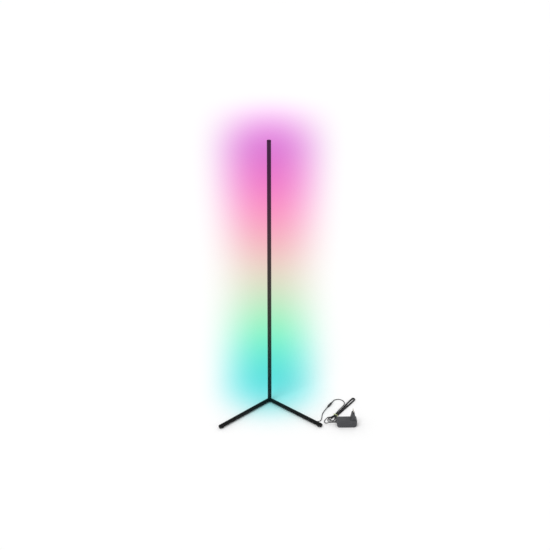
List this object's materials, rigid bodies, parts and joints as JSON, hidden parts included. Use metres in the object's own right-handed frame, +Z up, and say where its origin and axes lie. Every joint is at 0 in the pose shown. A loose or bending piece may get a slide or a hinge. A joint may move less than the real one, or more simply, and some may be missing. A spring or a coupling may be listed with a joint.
{
  "type": "corner floor lamp",
  "caption": "Slim black corner floor lamp: upright round pole on spread legs, light strips facing the corner, with a lead, a tied hank of cord and a plug-in supply.",
  "frame": {"origin": "on the floor under the pole's axis, the middle of the corner foot's rest face", "axes": "+Z up along the pole; the light faces +Y, into the corner of the room; the legs run towards -Y, 45 degrees to each side"},
  "size_m": [0.7095, 0.2832, 1.4],
  "materials": {
    "painted_steel": "satin black powder coat",
    "painted_aluminium": "satin black powder coat",
    "black_plastic": "matte black moulding",
    "rubber_feet": "matte black rubber",
    "ballast_steel": "bare bar",
    "black_screws": "black oxide",
    "splice_aluminium": "bare extrusion",
    "strip_white": "white flexible circuit",
    "led_package": "white package with a clear lens",
    "milky_diffuser": "milky translucent cover",
    "link_plastic": "white connector",
    "circuit_board": "green solder mask",
    "component_black": "moulded packages",
    "capacitor_sleeve": "shrunk sleeve",
    "transformer_tape": "yellow polyester tape",
    "wire_insulation": "wire insulation",
    "relief_rubber": "soft moulding",
    "cord_sheath": "satin black sheath",
    "coupling_plastic": "moulded over the contacts",
    "nickel_contact": "nickel plate",
    "tie_plastic": "pale green plastic",
    "supply_plastic": "fine-textured black housing"
  },
  "bodies": {
    "root": {"cable_cover": "black_plastic", "cable_tie": "tie_plastic", "capacitors": "capacitor_sleeve", "cord_hank": "cord_sheath", "cord_loop": "cord_sheath", "cord_tail": "cord_sheath", "corner_foot": "rubber_feet", "corner_joint": "painted_steel", "dc_plug_barrel": "nickel_contact", "dc_plug_body": "coupling_plastic", "lamp_lead": "cord_sheath", "lead_outlet": "relief_rubber", "left_end_cap": "black_plastic", "left_foot": "rubber_feet", "left_leg": "painted_steel", "left_leg_ballast": "ballast_steel", "leg_screws": "black_screws", "lower_diffuser": "milky_diffuser", "lower_led_chips": "led_package", "lower_led_strip": "strip_white", "lower_section": "painted_aluminium", "lower_splice": "splice_aluminium", "lower_strip_link": "link_plastic", "middle_diffuser": "milky_diffuser", "middle_led_chips": "led_package", "middle_led_strip": "strip_white", "middle_section": "painted_aluminium", "plug_neck": "supply_plastic", "plug_pins": "nickel_contact", "pole_screw": "black_screws", "receiver_board": "circuit_board", "receiver_parts": "component_black", "right_end_cap": "black_plastic", "right_foot": "rubber_feet", "right_leg": "painted_steel", "right_leg_ballast": "ballast_steel", "socket_body": "coupling_plastic", "socket_pin": "nickel_contact", "splice_screws": "black_screws", "strip_ribbon": "wire_insulation", "supply_board": "circuit_board", "supply_lower_shell": "supply_plastic", "supply_relief": "relief_rubber", "supply_upper_shell": "supply_plastic", "supply_wires": "wire_insulation", "top_cap": "black_plastic", "transformer": "transformer_tape", "upper_diffuser": "milky_diffuser", "upper_led_chips": "led_package", "upper_led_strip": "strip_white", "upper_section": "painted_aluminium", "upper_splice": "splice_aluminium", "upper_strip_link": "link_plastic"}
  },
  "joints": []
}
